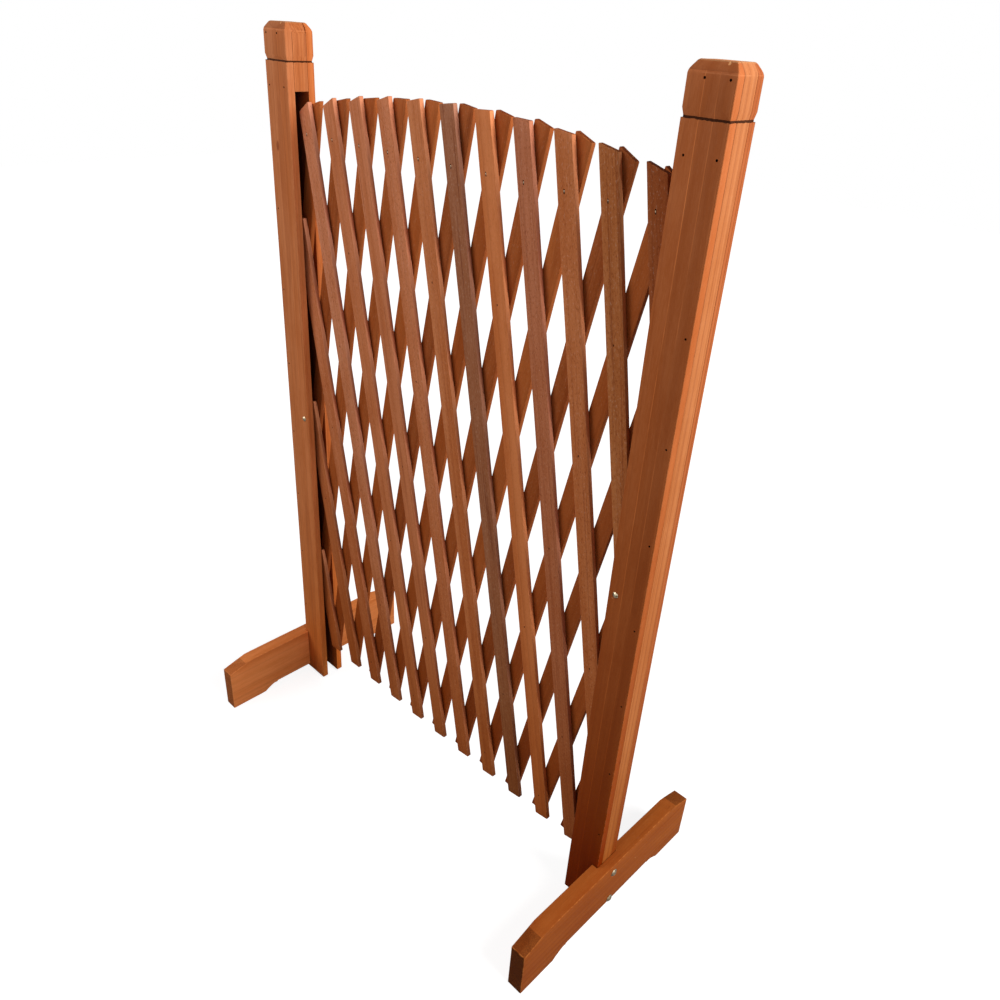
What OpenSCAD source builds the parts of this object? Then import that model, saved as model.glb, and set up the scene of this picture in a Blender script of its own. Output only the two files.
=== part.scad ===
// Expanding trellis: two slotted posts on foot boards with a scissor lattice of slats between them.
// +Z is up, +X runs along the width and the front looks towards -Y. The floor is z = 0.

/* [Lattice] */
// Distance between neighbouring rivets along a slat
slat_pitch = 141; // [125:1:160]
// Lean of the slats from the vertical, in degrees
lean = 11.4; // [8:0.1:20]
// Width of a slat
slat_w = 23; // [18:0.5:24]
// Thickness of a slat
slat_t = 6.5; // [5:0.5:7]
// Gap between the front and the back layer
layer_gap = 0.8; // [0.6:0.1:1.2]
// Length of the middle slats beyond their top rivets
crown_tail = 64; // [50:1:70]
// Radius of the arch that the upper ends are trimmed to, with the lattice folded
crown_r = 285; // [220:5:600]
// Length of the middle slats beyond their bottom rivets
edge_tail = 39; // [30:1:60]
// Radius of the arch that the lower ends are trimmed to, with the lattice folded
edge_r = 1600; // [600:50:3000]
// Lean of the slats with the lattice folded, in degrees
folded_lean = 5; // [4.8:0.1:8]
// Length of a slat beyond its last rivet inside a post
side_tail = 26; // [20:1:28]
// Height of the slats' lower ends above the floor with the lattice folded flat
tip_floor = 66; // [50:1:90]
// Gap between the outermost upper ends and the head blocks with the lattice folded flat
tip_gap = 2; // [1:0.5:15]

/* [Posts] */
// Width of a post, seen from the front
post_w = 49; // [47:1:60]
// Thickness of each cheek board
cheek_t = 10.5; // [9:0.5:14]
// Width of the channel between the cheeks
channel_w = 21; // [19:0.5:26]
// Thickness of the spine board
spine_t = 13; // [12:0.5:15]
// Height of the head block above the channel
head_h = 79; // [65:1:95]
// Gap between the floor and the bottom of a post
post_lift = 3; // [1:0.5:8]
// Distance from the inner edge of a post to the pivot bolt
pivot_in = 10; // [9:0.5:12]
// Height of the chamfer round the top of a post
cap_chamfer_h = 8.5; // [4:0.5:10]
// Inset of the chamfer round the top of a post
cap_chamfer_in = 6; // [2:0.5:8]
// Depth of the groove below the cap
groove_d = 3; // [1.5:0.5:4]
// Height of the groove's mouth
groove_w = 4; // [2:0.5:6]
// Distance from the top of a post to the groove
groove_drop = 44; // [30:1:50]

/* [Feet] */
// Length of a foot board, front to back
foot_l = 365; // [300:5:450]
// Height of a foot board
foot_h = 88; // [84:1:100]
// Thickness of a foot board
foot_t = 23; // [20:0.5:30]
// Depth of the housing that takes the post
housing_d = 8.5; // [5:0.5:12]
// Length of the slope at each end of a foot board
slope_l = 42; // [20:1:60]
// Drop of the slope at each end of a foot board
slope_drop = 12; // [4:1:20]
// Length of the flat pad under each end of a foot board
pad_l = 64; // [40:1:80]
// Rise of the arch under a foot board
arch_rise = 11; // [4:0.5:12]
// Run of the arch from a pad up to its full rise
arch_run = 25; // [15:1:40]

/* [Hardware] */
// Diameter of the foot bolts
bolt_d = 6; // [5:0.5:7]
// Diameter of a foot bolt's domed head
bolt_head_d = 11.5; // [10:0.5:14]
// Height of a foot bolt's domed head
bolt_head_h = 3; // [2:0.2:5]
// Size of a foot bolt's nut across its flats
nut_af = 10; // [9:0.5:12]
// Height of a foot bolt's nut
nut_h = 5; // [4:0.5:6]
// Diameter of the pivot bolts
pivot_d = 4; // [3:0.5:6]
// Diameter of a pivot bolt's domed head
pivot_head_d = 8; // [7:0.5:12]
// Height of a pivot bolt's domed head
pivot_head_h = 2.4; // [1.6:0.2:4]
// Size of a pivot bolt's nut across its flats
pivot_nut_af = 7; // [7:0.5:10]
// Height of a pivot bolt's nut
pivot_nut_h = 3.2; // [2.4:0.2:5]
// Length of thread that stands out of a nut
bolt_out = 2; // [1:0.5:3]
// Height of the lower foot bolt above the floor
bolt_low = 17; // [17:0.5:20]
// Distance between the two foot bolts
bolt_spacing = 56; // [40:1:57]
// Diameter of a rivet's shank
rivet_d = 2.6; // [2:0.2:3]
// Diameter of a rivet's head, behind the lattice
rivet_head_d = 5.6; // [4.5:0.2:7]
// Height of a rivet's head
rivet_head_h = 0.8; // [0.5:0.1:1.2]
// Wood left in front of a rivet that ends inside its front slat
rivet_cover = 1.5; // [1:0.1:2.5]
// Diameter of a top rivet's clinched end, in front of the lattice
clinch_d = 3.6; // [3.6:0.2:5]
// Height of a top rivet's clinched end
clinch_h = 0.5; // [0.3:0.1:0.8]
// Diameter of a brad's shank
brad_d = 1.4; // [1:0.1:2]
// Diameter of a brad's head
brad_head_d = 2.2; // [2.1:0.1:3]
// Height of a brad's head
brad_head_h = 0.8; // [0.5:0.1:1.2]
// Length of a brad
brad_l = 18; // [15:0.5:18]
// Depth of a brad's head under the surface
brad_sink = 0.8; // [0.2:0.1:1.5]
// Distance between neighbouring brads along the spine
brad_pitch = 115; // [90:1:118]
// Distance from the lowest brad in the spine to the floor
brad_low = 150; // [110:1:160]
// Distance from the lower brads of a head block to its end
brad_edge = 5; // [3:0.5:9]

/* [Clearances] */
// Radial clearance of a shank that a slat turns on
turn_gap = 0.08; // [0.02:0.01:0.1]
// Radial clearance of a fixed bolt in its hole
bolt_gap = 0.2; // [0.1:0.05:0.4]
// Clearance of a brad or a rivet in the wood that holds it, and of a thread in its nut
tight_gap = 0.05; // [0.02:0.01:0.1]
// Gap between a rivet's head and the back slat
head_gap = 0.25; // [0.1:0.05:0.3]
// Gap between the housing's walls and the post
housing_gap = 0.3; // [0.2:0.1:0.6]

/* [Hidden] */
$fn = 32;
cut = 1;
rows = 6;
cols = 22;
slats = (rows + cols) / 2;
spine_brads = 7;
// Share of the arch's rise that is reached halfway along its run
arch_bulge = 0.65;

column_dx = slat_pitch * sin(lean);
row_dz = slat_pitch * cos(lean);
pivot_x = cols / 2 * column_dx;
folded_dx = slat_pitch * sin(folded_lean);
folded_reach = rows / 2 * slat_pitch;
pivot_h = tip_floor + edge_tail + folded_reach;
post_out = post_w - pivot_in;
post_d = channel_w + 2 * cheek_t;
channel_top = pivot_h + folded_reach + max(upper_end(1, -1, 0)) + tip_gap;
post_top = channel_top + head_h;
layer_y = layer_gap / 2 + slat_t / 2;
stack_y = layer_gap / 2 + slat_t;
groove_z = post_top - groove_drop;
head_l = post_w - spine_t;
foot_in = post_out - housing_d;
bolt_grip = foot_t - housing_d + spine_t;
bolt_zs = [bolt_low, bolt_low + bolt_spacing];
spine_brad_x = post_out - spine_t / 2;
brad_upper_z = post_top - cap_chamfer_h - brad_edge;
brad_head_z = channel_top + brad_edge;
brad_spots = concat(
    [for (i = [0:spine_brads - 1]) [spine_brad_x, brad_low + i * brad_pitch]],
    [for (z = [brad_head_z, brad_upper_z]) [spine_brad_x, z]],
    [[head_l / 4 - pivot_in, brad_head_z], [head_l / 2 - pivot_in, brad_upper_z]]
);

wood_light = "#b5672f";
wood_mid = "#a3582a";
wood_dark = "#8a4823";
steel = "#b9b7b0";
rivet_grey = "#5a4a40";

POST_PIECES = [
    "front_cheek", "back_cheek", "spine", "head_block", "foot",
    "foot_bolts", "pivot_bolt", "nuts", "brads"
];
SIDES = ["left", "right"];
function numbered(name, i) = str(name, i < 10 ? "_0" : "_", i);

// The crossings lie on a grid of columns 0 to cols and rows 0 to rows, counted from the top left.
// Front slat i runs down to the right and back slat i runs down to the left.
function front_start(i) = 2 * (i - 1) - rows + 1;
function back_start(i) = 2 * i - 1;
function front_rows(i) = [max(0, -front_start(i)), min(rows, cols - front_start(i))];
function back_rows(i) = [max(0, back_start(i) - cols), min(rows, back_start(i))];
function is_pivot(column, row) = row == rows / 2 && (column == 0 || column == cols);
function crossing(column, row) = [
    (column - cols / 2) * column_dx,
    0,
    pivot_h + (rows / 2 - row) * row_dz
];

// Length of a slat beyond its outermost rivet, at a distance from its middle line. The arch is cut with
// the lattice folded. turn is 1 where that end of the slat leans towards +X, and -1 where it leans to -X.
function trimmed(column, turn, across, tail, arch_r) =
    let (x = (column - cols / 2) * folded_dx + turn * tail * sin(folded_lean) + across * cos(folded_lean))
    (tail - arch_r + sqrt(arch_r * arch_r - x * x) + turn * across * sin(folded_lean)) / cos(folded_lean);

// A slat's length beyond its first or last crossing, at its left and its right edge
function slat_end(column, turn, at_edge, tail, arch_r) = [
    for (across = [-slat_w / 2, slat_w / 2])
        at_edge ? trimmed(column, turn, across, tail, arch_r) : side_tail
];
function upper_end(column, turn, row) = slat_end(column, turn, row == 0, crown_tail, crown_r);
function lower_end(column, turn, row) = slat_end(column, turn, row == rows, edge_tail, edge_r);

// A cylinder along Y, from y1 to y2
module cylinder_y(r, y1, y2) {
    translate([0, y2, 0])
        rotate([90, 0, 0])
            cylinder(r = r, h = y2 - y1);
}

// The board of a slat, from its first crossing at the origin down its own length
module slat_board(layer, span, upper, lower) {
    length = (span[1] - span[0]) * slat_pitch;
    translate([0, layer * layer_y + slat_t / 2, 0])
        rotate([90, 0, 0])
            linear_extrude(slat_t)
                polygon([
                    [-slat_w / 2, -length - lower[0]],
                    [slat_w / 2, -length - lower[1]],
                    [slat_w / 2, upper[1]],
                    [-slat_w / 2, upper[0]]
                ]);
}

module slat_front(i) {
    span = front_rows(i);
    first = front_start(i);
    color(i % 2 == 0 ? wood_mid : wood_light)
        translate(crossing(first + span[0], span[0]))
            rotate([0, -lean, 0])
                difference() {
                    slat_board(
                        -1,
                        span,
                        upper_end(first + span[0], -1, span[0]),
                        lower_end(first + span[1], 1, span[1])
                    );
                    for (row = [span[0]:span[1]])
                        translate([0, 0, (span[0] - row) * slat_pitch])
                            if (is_pivot(first + row, row))
                                cylinder_y(pivot_d / 2 + turn_gap, -stack_y - cut, cut);
                            else
                                cylinder_y(rivet_d / 2 + tight_gap, rivet_front(row) - tight_gap, cut);
                }
}

module slat_back(i) {
    span = back_rows(i);
    first = back_start(i);
    color(wood_dark)
        translate(crossing(first - span[0], span[0]))
            rotate([0, lean, 0])
                difference() {
                    slat_board(
                        1,
                        span,
                        upper_end(first - span[0], 1, span[0]),
                        lower_end(first - span[1], -1, span[1])
                    );
                    for (row = [span[0]:span[1]])
                        translate([0, 0, (span[0] - row) * slat_pitch])
                            cylinder_y(
                                (is_pivot(first - row, row) ? pivot_d : rivet_d) / 2 + turn_gap,
                                -cut,
                                stack_y + cut
                            );
                }
}

// Where a rivet ends in front: the ones in the top row come out and are clinched
function rivet_front(row) = row == 0 ? -stack_y : rivet_cover - stack_y;

// A rivet driven from behind, fast in the front slat; the back slat turns on it
module rivet(row) {
    head_y = stack_y + head_gap;
    cylinder_y(rivet_d / 2, rivet_front(row), head_y);
    cylinder_y(rivet_head_d / 2, head_y, head_y + rivet_head_h);
    if (row == 0)
        cylinder_y(clinch_d / 2, -stack_y - clinch_h, -stack_y);
}

// The rivets along front slat i
module rivets(i) {
    span = front_rows(i);
    first = front_start(i);
    color(rivet_grey)
        for (row = [span[0]:span[1]])
            if (!is_pivot(first + row, row))
                translate(crossing(first + row, row))
                    rivet(row);
}

// Everything of a post is drawn with the pivot bolt on x = 0 and the outer side towards +X,
// and side moves it to the right or mirrors it to the left.
module at_post(side) {
    mirror([side == "left" ? 1 : 0, 0, 0])
        translate([pivot_x, 0, 0])
            children();
}

// The V groove and the chamfered top, cut from the whole outline of a post
module post_trim() {
    for (turned = [false, true]) {
        depth = turned ? post_w : post_d;
        run = turned ? post_d : post_w;
        for (flip = [0, 1])
            translate([(post_out - pivot_in) / 2, 0, 0])
                rotate([0, 0, turned ? 90 : 0])
                    mirror([0, flip, 0])
                        translate([run / 2 + cut, -depth / 2, 0])
                            rotate([90, 0, -90])
                                linear_extrude(run + 2 * cut)
                                    trim_profile();
    }
}

// Seen along one face of the post, with the face on x = 0 and the post towards -X
module trim_profile() {
    polygon([
        [groove_w / 2, groove_z + groove_w / 2 + groove_w * groove_w / 4 / groove_d],
        [-groove_d, groove_z],
        [groove_w / 2, groove_z - groove_w / 2 - groove_w * groove_w / 4 / groove_d]
    ]);
    polygon([
        [-cap_chamfer_in, post_top],
        [0, post_top - cap_chamfer_h],
        [cut, post_top - cap_chamfer_h],
        [cut, post_top + cut],
        [-cap_chamfer_in, post_top + cut]
    ]);
}

// The holes of the foot bolts, along X
module foot_bolt_holes() {
    for (z = bolt_zs)
        translate([0, 0, z])
            rotate([0, 90, 0])
                cylinder(d = bolt_d + 2 * bolt_gap, h = post_out + foot_t + cut);
}

// Brads driven from the front face; hole = true gives the holes they sit in
module brads_from_front(hole) {
    grow = hole ? tight_gap : 0;
    open = hole ? brad_sink + cut : 0;
    for (spot = brad_spots)
        translate([spot[0], -post_d / 2 + brad_sink, spot[1]])
            rotate([-90, 0, 0]) {
                translate([0, 0, -open])
                    cylinder(d = brad_head_d + 2 * grow, h = brad_head_h + open + grow);
                cylinder(d = brad_d + 2 * grow, h = brad_l + grow);
            }
}

module all_brads(hole) {
    brads_from_front(hole);
    mirror([0, 1, 0])
        brads_from_front(hole);
}

module cheek(side, face) {
    color(wood_mid)
        at_post(side)
            difference() {
                translate([-pivot_in, face > 0 ? channel_w / 2 : -post_d / 2, post_lift])
                    cube([post_w, cheek_t, post_top - post_lift]);
                post_trim();
                all_brads(true);
                translate([0, 0, pivot_h])
                    cylinder_y(pivot_d / 2 + turn_gap, -post_d, post_d);
            }
}

module spine(side) {
    color(wood_light)
        at_post(side)
            difference() {
                translate([post_out - spine_t, -channel_w / 2, post_lift])
                    cube([spine_t, channel_w, post_top - post_lift]);
                post_trim();
                all_brads(true);
                foot_bolt_holes();
            }
}

module head_block(side) {
    color(wood_light)
        at_post(side)
            difference() {
                translate([-pivot_in, -channel_w / 2, channel_top])
                    cube([head_l, channel_w, head_h]);
                post_trim();
                all_brads(true);
            }
}

// Outline of a foot board, seen from the side
module foot_profile() {
    half = foot_l / 2;
    polygon([
        [-half, 0],
        [-half + pad_l, 0],
        [-half + pad_l + arch_run / 2, arch_rise * arch_bulge],
        [-half + pad_l + arch_run, arch_rise],
        [half - pad_l - arch_run, arch_rise],
        [half - pad_l - arch_run / 2, arch_rise * arch_bulge],
        [half - pad_l, 0],
        [half, 0],
        [half, foot_h - slope_drop],
        [half - slope_l, foot_h],
        [-half + slope_l, foot_h],
        [-half, foot_h - slope_drop]
    ]);
}

module foot(side) {
    housing_y = post_d + 2 * housing_gap;
    color(wood_light)
        at_post(side)
            difference() {
                translate([foot_in, 0, 0])
                    rotate([90, 0, 90])
                        linear_extrude(foot_t)
                            foot_profile();
                translate([foot_in - cut, -housing_y / 2, -cut])
                    cube([housing_d + cut, housing_y, foot_h + 2 * cut]);
                foot_bolt_holes();
            }
}

// A bolt along Z with its domed head below z = 0
module bolt(d, head_d, head_h, length) {
    dome_r = (head_d * head_d / 4 + head_h * head_h) / 2 / head_h;
    cylinder(d = d, h = length);
    intersection() {
        translate([0, 0, dome_r - head_h])
            sphere(r = dome_r, $fn = 48);
        translate([0, 0, -head_h - cut])
            cylinder(d = head_d + 2 * cut, h = head_h + cut);
    }
}

module foot_bolts(side) {
    color(steel)
        at_post(side)
            for (z = bolt_zs)
                translate([post_out - housing_d + foot_t, 0, z])
                    rotate([0, -90, 0])
                        bolt(bolt_d, bolt_head_d, bolt_head_h, bolt_grip + nut_h + bolt_out);
}

module pivot_bolt(side) {
    color(steel)
        at_post(side)
            translate([0, -post_d / 2, pivot_h])
                rotate([-90, 0, 0])
                    bolt(pivot_d, pivot_head_d, pivot_head_h, post_d + pivot_nut_h + bolt_out);
}

// A hexagonal nut along Z, on z = 0
module nut(d, af, h) {
    difference() {
        cylinder(d = af / cos(30), h = h, $fn = 6);
        translate([0, 0, -cut])
            cylinder(d = d + 2 * tight_gap, h = h + 2 * cut);
    }
}

module nuts(side) {
    color(steel)
        at_post(side) {
            for (z = bolt_zs)
                translate([post_out - spine_t, 0, z])
                    rotate([0, -90, 0])
                        nut(bolt_d, nut_af, nut_h);
            translate([0, post_d / 2, pivot_h])
                rotate([-90, 0, 0])
                    nut(pivot_d, pivot_nut_af, pivot_nut_h);
        }
}

module brads(side) {
    color(rivet_grey)
        at_post(side)
            all_brads(false);
}

for (side = SIDES) {
    cheek(side, -1);
    cheek(side, 1);
    spine(side);
    head_block(side);
    foot(side);
    foot_bolts(side);
    pivot_bolt(side);
    nuts(side);
    brads(side);
}
for (i = [1:slats]) {
    slat_front(i);
    slat_back(i);
    rivets(i);
}
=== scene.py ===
import math

import bmesh
import bpy
from mathutils import Matrix, Vector, noise


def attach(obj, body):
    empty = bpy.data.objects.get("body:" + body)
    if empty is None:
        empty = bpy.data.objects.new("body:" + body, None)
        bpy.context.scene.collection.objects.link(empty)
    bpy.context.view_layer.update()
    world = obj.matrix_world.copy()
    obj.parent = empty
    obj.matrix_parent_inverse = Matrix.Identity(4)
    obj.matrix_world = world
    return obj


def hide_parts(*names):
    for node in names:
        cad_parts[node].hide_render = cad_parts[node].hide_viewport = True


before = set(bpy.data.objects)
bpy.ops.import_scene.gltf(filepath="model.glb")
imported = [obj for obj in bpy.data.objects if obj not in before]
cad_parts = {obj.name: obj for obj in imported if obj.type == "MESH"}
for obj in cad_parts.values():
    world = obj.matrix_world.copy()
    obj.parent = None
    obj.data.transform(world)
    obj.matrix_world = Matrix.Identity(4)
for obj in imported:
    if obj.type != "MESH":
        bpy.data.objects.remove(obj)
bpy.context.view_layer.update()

# Lattice, in metres
PITCH = 0.141
LEAN, FOLDED_LEAN = math.radians(11.4), math.radians(5)
SLAT_W, SLAT_T, LAYER_GAP = 0.023, 0.0065, 0.0008
CROWN_TAIL, CROWN_R, EDGE_TAIL, EDGE_R, SIDE_TAIL = 0.064, 0.285, 0.039, 1.6, 0.026
ROWS, COLS, SLATS = 6, 22, 14
COLUMN_DX, ROW_DZ = PITCH * math.sin(LEAN), PITCH * math.cos(LEAN)
PIVOT_X, PIVOT_Z = COLS / 2 * COLUMN_DX, 0.528
LAYER_Y = LAYER_GAP / 2 + SLAT_T / 2
STACK_Y = LAYER_GAP / 2 + SLAT_T

# Posts
POST_W, POST_IN, CHEEK_T, CHANNEL_W, SPINE_T = 0.049, 0.010, 0.0105, 0.021, 0.013
POST_OUT, POST_D = POST_W - POST_IN, CHANNEL_W + 2 * CHEEK_T
SPINE_IN = POST_OUT - SPINE_T
POST_LIFT, CHANNEL_TOP, POST_TOP = 0.003, 0.991, 1.070
GROOVE_Z, GROOVE_D, GROOVE_W = 1.026, 0.0018, 0.002
CAP_H, CAP_IN, CAP_SOFT, CAP_ROUND = 0.0085, 0.006, 0.0028, 0.0016
HEAD_SET_BACK = 0.0016

# Feet
FOOT_T, FOOT_L, FOOT_H, HOUSING_D = 0.023, 0.365, 0.088, 0.0085
FOOT_IN = POST_OUT - HOUSING_D
FOOT_OUT = FOOT_IN + FOOT_T
SLOPE_L, SLOPE_DROP = 0.042, 0.012
PAD_L, ARCH_RISE, ARCH_RUN = 0.064, 0.011, 0.025

# Bolts, nuts, rivets and brads
BOLT_ZS = (0.017, 0.073)
BOLT_R, BOLT_HEAD_R, BOLT_HEAD_H, NUT_AF, NUT_H = 0.003, 0.00575, 0.003, 0.010, 0.005
PIVOT_R, PIVOT_HEAD_R, PIVOT_HEAD_H, PIVOT_NUT_AF, PIVOT_NUT_H = 0.002, 0.004, 0.0024, 0.007, 0.0032
BOLT_PAST_NUT, THREAD_PITCH = 0.002, 0.0008
RIVET_R, RIVET_HEAD_R, RIVET_HEAD_H, RIVET_COVER, RIVET_GAP = 0.0013, 0.0028, 0.0008, 0.0015, 0.00025
CLINCH_ASIDE = -0.0022
BRAD_D, BRAD_SINK = 0.0022, 0.0008
SPINE_BRAD_X = POST_OUT - SPINE_T / 2
BRADS = [(SPINE_BRAD_X, 0.150 + 0.115 * i) for i in range(7)] + [
    (SPINE_BRAD_X, 0.996), (SPINE_BRAD_X, 1.0565), (-0.001, 0.996), (0.008, 1.0565)]

# Rounding of edges, depth of saw waves, room round pins
POST_EASE, SEAM_EASE, SLAT_EASE, SLAT_CORNER = 0.0011, 0.0003, 0.0006, 0.0014
SAW_WAVE, FOOT_WAVE = 0.0002, 0.0003
BOLT_ROOM, RIVET_ROOM, BLIND_ROOM, BRAD_ROOM = 0.0002, 0.00008, 0.00005, 0.0001
SEAM_SEEN = 0.0003
SAME, MERGE = 1e-6, 1e-7
SMOOTH_BELOW = math.radians(34)
FACE_MARKS = ("worn_and_lit", "end_grain", "painted_shade", "broad_face", "painted_side_light")


def crossing(column, row):
    return Vector(((column - COLS / 2) * COLUMN_DX, 0, PIVOT_Z + (ROWS / 2 - row) * ROW_DZ))


def front_span(i):
    """The column where front slat i would meet row 0, and its first and last row."""
    first = 2 * (i - 1) - ROWS + 1
    return first, max(0, -first), min(ROWS, COLS - first)


def back_span(i):
    """The same for back slat i, which leans the other way."""
    first = 2 * i - 1
    return first, max(0, first - COLS), min(ROWS, first)


def trimmed(column, turn, across, tail, radius):
    """Length of a slat beyond its outermost rivet. The arch is cut with the lattice folded."""
    lean_sin, lean_cos = math.sin(FOLDED_LEAN), math.cos(FOLDED_LEAN)
    x = (column - COLS / 2) * PITCH * lean_sin + turn * tail * lean_sin + across * lean_cos
    return (tail - radius + math.sqrt(radius ** 2 - x ** 2) + turn * across * lean_sin) / lean_cos


def slat_end(column, turn, at_edge, tail, radius):
    """The lengths at a slat's left and right side. An end that sits inside a post is square."""
    if not at_edge:
        return [SIDE_TAIL, SIDE_TAIL]
    return [trimmed(column, turn, side * SLAT_W / 2, tail, radius) for side in (-1, 1)]


def add_object(name, data):
    made = bpy.data.objects.new(name, data)
    bpy.context.scene.collection.objects.link(made)
    return made


# Camera, fitted to the posts, feet and bolts in the photograph
CAMERA_TURN, CAMERA_RISE, CAMERA_ROLL = (math.radians(angle) for angle in (42.44, 29.78, 3.84))
CAMERA_PLACE, CAMERA_LENS = (0.7305, -0.6895, 1.0884), 30.2


def place_camera():
    level, raised = math.cos(CAMERA_RISE), math.sin(CAMERA_RISE)
    back = Vector((math.sin(CAMERA_TURN) * level, -math.cos(CAMERA_TURN) * level, raised))
    right = Vector((0, 0, 1)).cross(back).normalized()
    up = back.cross(right)
    tilted_right = right * math.cos(CAMERA_ROLL) + up * math.sin(CAMERA_ROLL)
    tilted_up = up * math.cos(CAMERA_ROLL) - right * math.sin(CAMERA_ROLL)
    camera = add_object("camera", bpy.data.cameras.new("camera"))
    camera.data.lens = CAMERA_LENS
    camera.data.sensor_width = 36
    camera.data.clip_start, camera.data.clip_end = 0.05, 50
    turn = Matrix((tilted_right, tilted_up, back)).transposed()
    camera.matrix_world = Matrix.Translation(CAMERA_PLACE) @ turn.to_4x4()
    bpy.context.scene.camera = camera


place_camera()


# Node helpers
def add_node(tree, kind, inputs=None, **settings):
    node = tree.nodes.new("ShaderNode" + kind)
    for key, value in settings.items():
        setattr(node, key, value)
    for key, value in (inputs or {}).items():
        if isinstance(value, bpy.types.NodeSocket):
            tree.links.new(value, node.inputs[key])
        else:
            node.inputs[key].default_value = value
    return node


def math_node(tree, operation, first, second=0.0, clamp=False):
    inputs = {0: first, 1: second}
    return add_node(tree, "Math", inputs, operation=operation, use_clamp=clamp).outputs[0]


def times(tree, first, second, clamp=False):
    return math_node(tree, "MULTIPLY", first, second, clamp)


def plus(tree, first, second, clamp=False):
    return math_node(tree, "ADD", first, second, clamp)


def minus(tree, first, second):
    return math_node(tree, "SUBTRACT", first, second)


def larger(tree, first, second):
    return math_node(tree, "MAXIMUM", first, second)


def vector_node(tree, operation, inputs):
    return add_node(tree, "VectorMath", inputs, operation=operation).outputs


def remap(tree, value, low, high, to_low=0.0, to_high=1.0, smooth=True):
    inputs = {0: value, 1: low, 2: high, 3: to_low, 4: to_high}
    kind = "SMOOTHSTEP" if smooth else "LINEAR"
    return add_node(tree, "MapRange", inputs, interpolation_type=kind).outputs[0]


def mix(tree, factor, first, second, blend="MIX"):
    settings = {"data_type": "RGBA", "blend_type": blend, "clamp_factor": True}
    return add_node(tree, "Mix", {0: factor, 6: first, 7: second}, **settings).outputs[2]


def mapped(tree, vector, scale=(1.0, 1.0, 1.0), shift=(0.0, 0.0, 0.0), turn=(0.0, 0.0, 0.0)):
    inputs = {"Vector": vector, "Location": shift, "Rotation": turn, "Scale": scale}
    return add_node(tree, "Mapping", inputs).outputs[0]


def noise_node(tree, vector, scale, detail=2.0, roughness=0.5, output=0):
    inputs = {"Vector": vector, "Scale": scale, "Detail": detail, "Roughness": roughness}
    return add_node(tree, "TexNoise", inputs).outputs[output]


def fibre_noise(tree, vector, squeeze, scale, detail, roughness=0.5):
    """Noise drawn out along the grain."""
    return noise_node(tree, mapped(tree, vector, (1.0, 1.0, squeeze)), scale, detail, roughness)


def scattered_spots(tree, vector, scale, near, far, channel, rare):
    """Spots that fade out from near to far. One shows only if a channel of its colour is above rare."""
    spots = add_node(tree, "TexVoronoi", {"Vector": vector, "Scale": scale, "Randomness": 1.0})
    chance = add_node(tree, "SeparateColor", {0: spots.outputs["Color"]}).outputs[channel]
    spot = remap(tree, spots.outputs["Distance"], near, far, 1.0, 0.0)
    return times(tree, spot, math_node(tree, "GREATER_THAN", chance, rare))


def group_node(tree, group, inputs):
    return add_node(tree, "Group", inputs, node_tree=group).outputs


def face_mark(tree, key):
    return add_node(tree, "Attribute", attribute_name=key).outputs["Fac"]


def new_group(name, colors, numbers, results=()):
    """A node group that takes a vector, colours and numbers, and gives a colour and perhaps numbers."""
    group = bpy.data.node_groups.new(name, "ShaderNodeTree")
    sockets = [("INPUT", "Vector", "Vector")]
    sockets += [("INPUT", "Color", label) for label in colors]
    sockets += [("INPUT", "Float", label) for label in numbers]
    sockets += [("OUTPUT", "Color", "Color")]
    sockets += [("OUTPUT", "Float", label) for label in results]
    for direction, kind, label in sockets:
        group.interface.new_socket(label, in_out=direction, socket_type="NodeSocket" + kind)
    return group, group.nodes.new("NodeGroupInput").outputs, group.nodes.new("NodeGroupOutput").inputs


def rgb(red, green, blue):
    def linear(channel):
        channel /= 255
        return channel / 12.92 if channel <= 0.04045 else ((channel + 0.055) / 1.055) ** 2.4
    return (linear(red), linear(green), linear(blue), 1.0)


def tinted(color, red, green, blue):
    return (min(1.0, color[0] * red), min(1.0, color[1] * green), min(1.0, color[2] * blue), 1.0)


# Colours of the stain, of wood where it is bare, and of painted shade; factors of the painted shade towards
# the floor
STAIN_DARK, STAIN_BODY, STAIN_LIGHT = rgb(140, 60, 27), rgb(202, 112, 57), rgb(222, 135, 80)
BARE_WOOD, POST_ENDS = rgb(232, 168, 112), rgb(206, 146, 100)
PAINTED_SHADE_COLOR, TORN_FIBRE = (0.03, 0.007, 0.002, 1.0), (1.0, 0.85, 0.7, 1.0)
# Factors of the painted shade towards the floor, and of its shift in hue
PAINTED_LOW_SHADE_FACTORS, PAINTED_LOW_HUE_FACTORS = (0.36, 0.13, 0.0, 1.0), (1.0, 0.82, 0.0, 1.0)
PLANED_DARKER, PLANED_PALER = (0.70, 0.72, 0.78, 1.0), (1.9, 2.1, 2.2, 1.0)


# Wood, in grain space: the fibres run along Z, the pith is the Z axis, and it is in metres.
def late_wood(tree, given, place):
    """Growth rings of uneven strength, counted outwards from a wandering pith."""
    wander = noise_node(tree, mapped(tree, place, (14.0, 14.0, 1.3)), 1.0, output="Color")
    offset = vector_node(tree, "SUBTRACT", {0: wander, 1: (0.5, 0.5, 0.5)})[0]
    offset = vector_node(tree, "SCALE", {0: offset, "Scale": 0.012})[0]
    centre = vector_node(tree, "ADD", {0: given["Vector"], 1: offset})[0]
    radius = vector_node(tree, "LENGTH", {0: mapped(tree, centre, (1.0, 1.0, 0.0))})["Value"]
    count = math_node(tree, "DIVIDE", radius, given["Ring Spacing"])
    turn = math_node(tree, "FRACT", count)
    late = times(tree, math_node(tree, "POWER", turn, 5.0), remap(tree, turn, 0.94, 1.0, 1.0, 0.0))
    number = math_node(tree, "FLOOR", count)
    year = add_node(tree, "TexWhiteNoise", {"W": number}, noise_dimensions="1D").outputs[0]
    strength = times(tree, given["Rings"], remap(tree, year, 0.0, 1.0, 0.35, 1.25))
    return times(tree, late, strength, clamp=True)


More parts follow.
